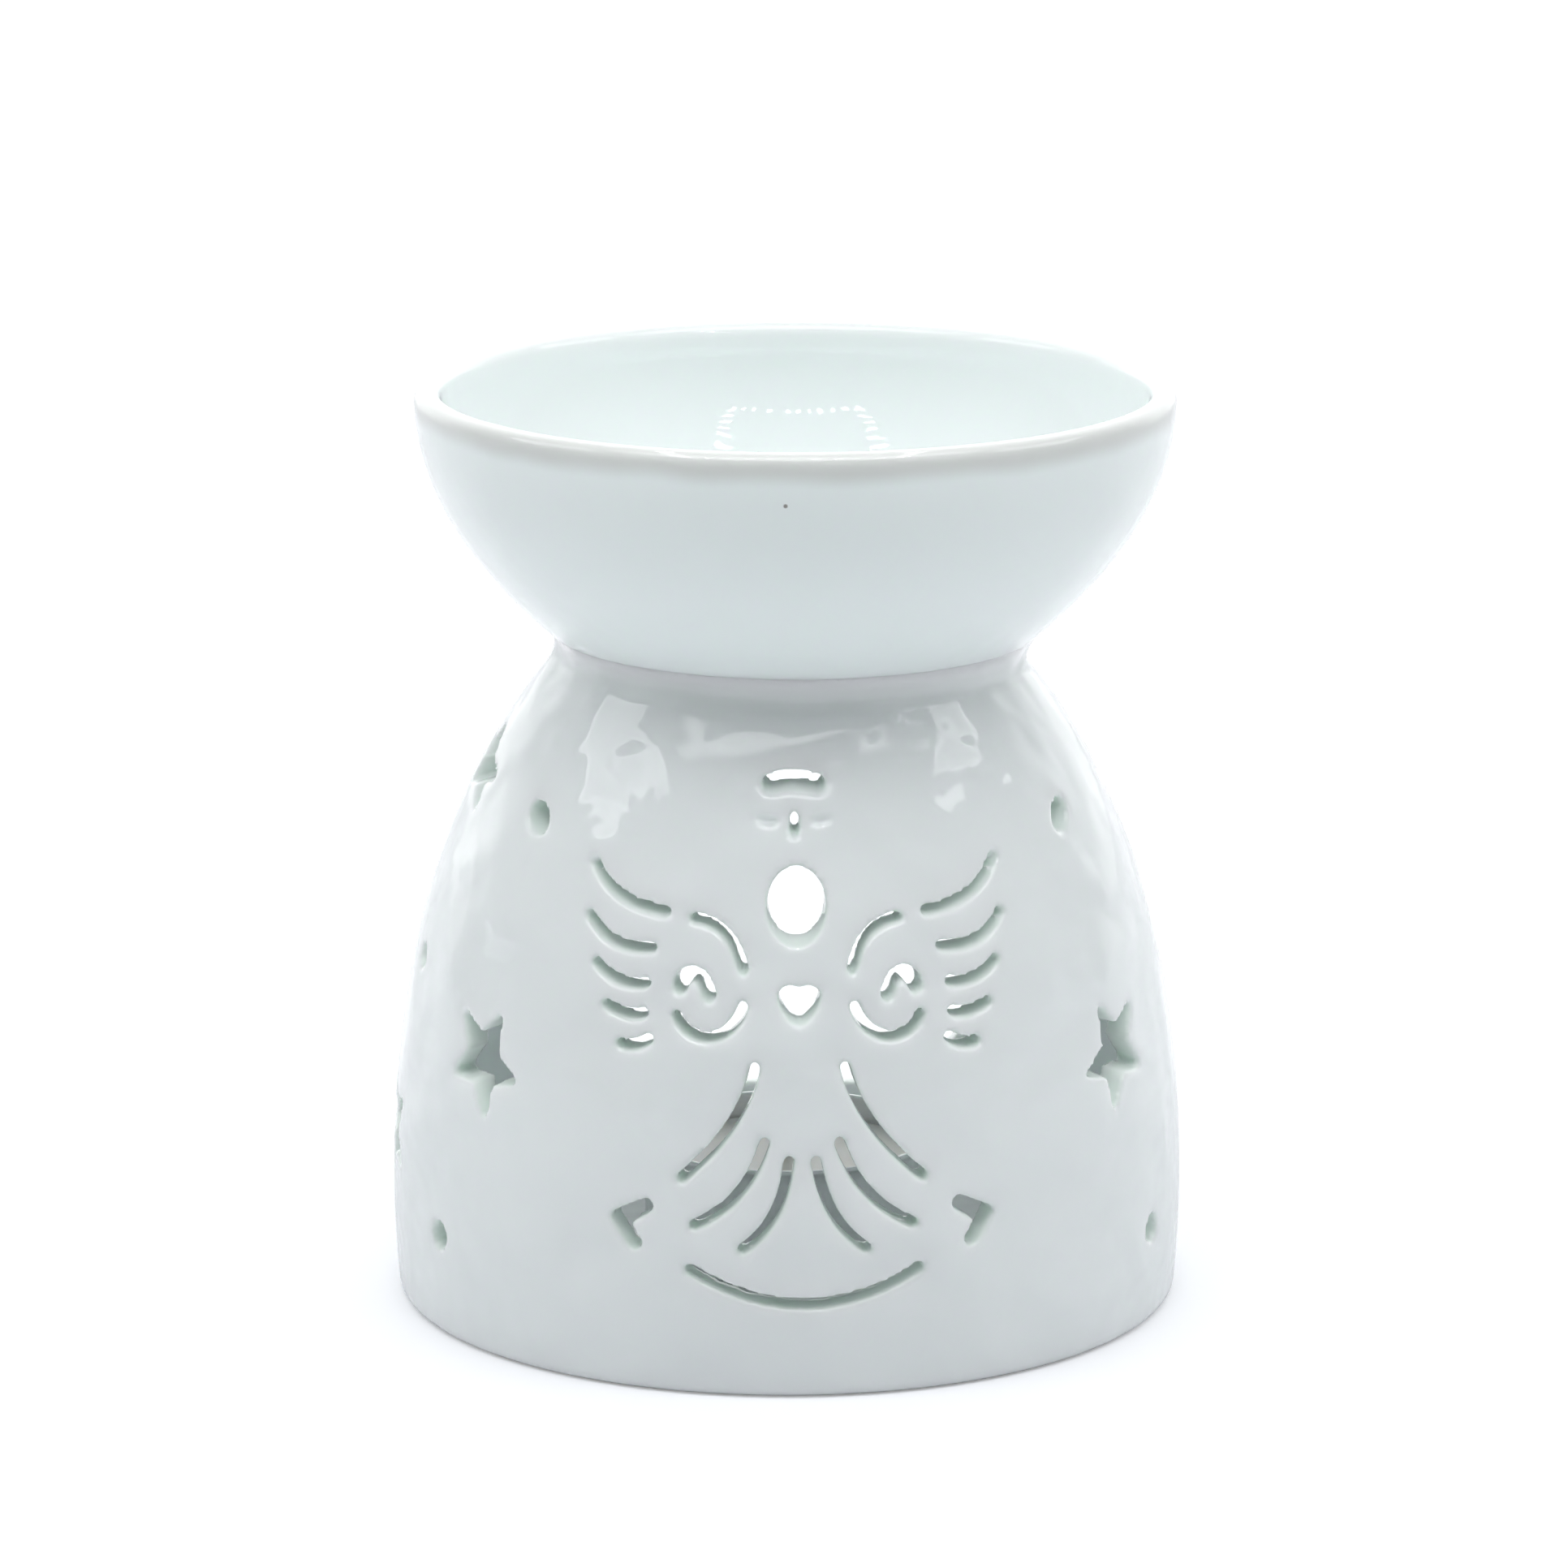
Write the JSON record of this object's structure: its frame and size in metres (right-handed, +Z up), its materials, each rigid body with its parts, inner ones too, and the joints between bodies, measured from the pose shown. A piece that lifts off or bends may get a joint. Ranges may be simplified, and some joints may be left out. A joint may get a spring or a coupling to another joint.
{
  "type": "tealight holder",
  "caption": "White porcelain oil burner: a pierced dome on a flat foot carries an open dish, and a tealight in an aluminium cup stands inside, put in through an opening at the back.",
  "frame": {"origin": "middle of the foot ring, on the surface that the burner stands on", "axes": "+Z up through the dish, -Y towards the pierced figure at the front, +Y towards the opening at the back"},
  "size_m": [0.104, 0.1039, 0.1206],
  "materials": {
    "glazed_porcelain": "clear gloss glaze over white porcelain",
    "fired_slip": "gloss glaze pooled over a joining slip",
    "cup_aluminium": "drawn foil, satin",
    "paraffin_wax": "cast paraffin wax, soft sheen, slightly translucent",
    "sustainer_steel": "thin tinned steel",
    "wick_cotton": "waxed cotton braid"
  },
  "bodies": {
    "burner": {"burner_body": "glazed_porcelain", "slip_seam": "fired_slip", "oil_dish": "glazed_porcelain"},
    "tealight": {"tealight_cup": "cup_aluminium"},
    "candle": {"tealight_wax": "paraffin_wax", "wick_sustainer": "sustainer_steel", "wick": "wick_cotton"}
  },
  "joints": [
    {"name": "tealight_draw", "type": "slide", "parent": "burner", "child": "tealight", "axis": [0, 0.891, 0.454], "range_m": [0, 0.088]},
    {"name": "wax_lift", "type": "slide", "parent": "tealight", "child": "candle", "axis": [0, 0, 1], "range_m": [0, 0.018]}
  ]
}
